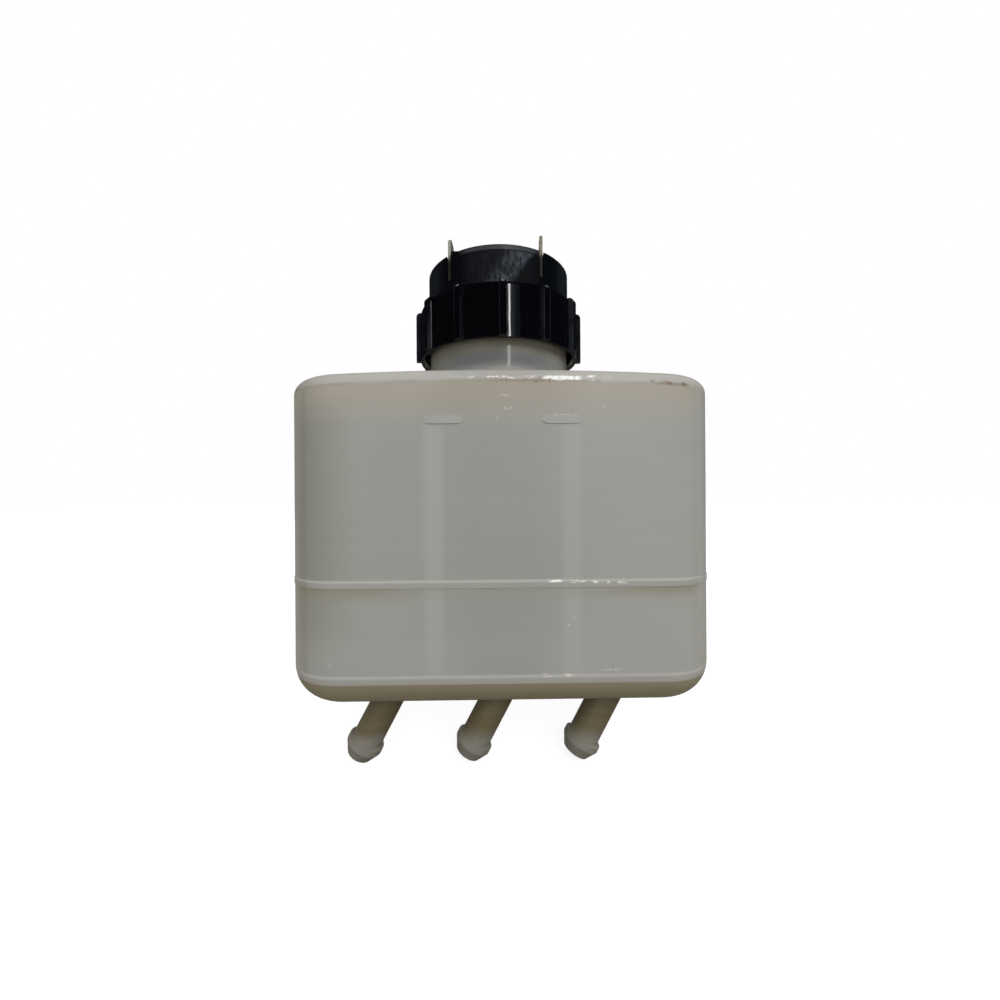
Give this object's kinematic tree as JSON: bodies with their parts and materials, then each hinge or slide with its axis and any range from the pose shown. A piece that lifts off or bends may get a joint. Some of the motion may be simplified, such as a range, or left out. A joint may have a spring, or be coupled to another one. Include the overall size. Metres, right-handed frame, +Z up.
{
  "type": "brake fluid reservoir",
  "caption": "Moulded translucent brake fluid reservoir with partitions, slanted barbed hose outlets underneath and a screw cap with a float level switch and blade terminals.",
  "frame": {"origin": "middle of the tank's flat back wall", "axes": "+Z up along the neck, +Y out of the back wall, so the front with the two level bars looks to -Y"},
  "size_m": [0.1124, 0.0588, 0.1456],
  "materials": {
    "tank_plastic": "translucent, satin",
    "collar_plastic": "glossy black",
    "cover_plastic": "fine textured black",
    "gasket_rubber": "matt",
    "terminal_metal": "tin plated",
    "contact_metal": "bright",
    "clip_steel": "plain",
    "float_plastic": "plain"
  },
  "bodies": {
    "tank": {"lower_shell": "tank_plastic", "upper_shell": "tank_plastic"},
    "switch_head": {"switch_base": "cover_plastic", "switch_cover": "cover_plastic", "neck_gasket": "gasket_rubber", "terminal_left": "terminal_metal", "terminal_right": "terminal_metal", "terminal_rivets": "contact_metal"},
    "screw_ring": {"collar": "collar_plastic"},
    "level_float": {"float_rod": "float_plastic", "float_body": "float_plastic", "float_top_clip": "clip_steel", "float_bottom_clip": "clip_steel", "contact_bridge": "contact_metal", "bridge_clip": "clip_steel"}
  },
  "joints": [
    {"name": "cap_lift", "type": "slide", "parent": "tank", "child": "switch_head", "axis": [0, 0, 1], "range_m": [0, 0.06]},
    {"name": "collar_turn", "type": "hinge", "parent": "switch_head", "child": "screw_ring", "pos_m": [0, -0.0293, 0.0592], "axis": [0, 0, 1], "continuous": true},
    {"name": "float_rise", "type": "slide", "parent": "switch_head", "child": "level_float", "axis": [0, 0, 1], "range_m": [0, 0.0065]}
  ]
}
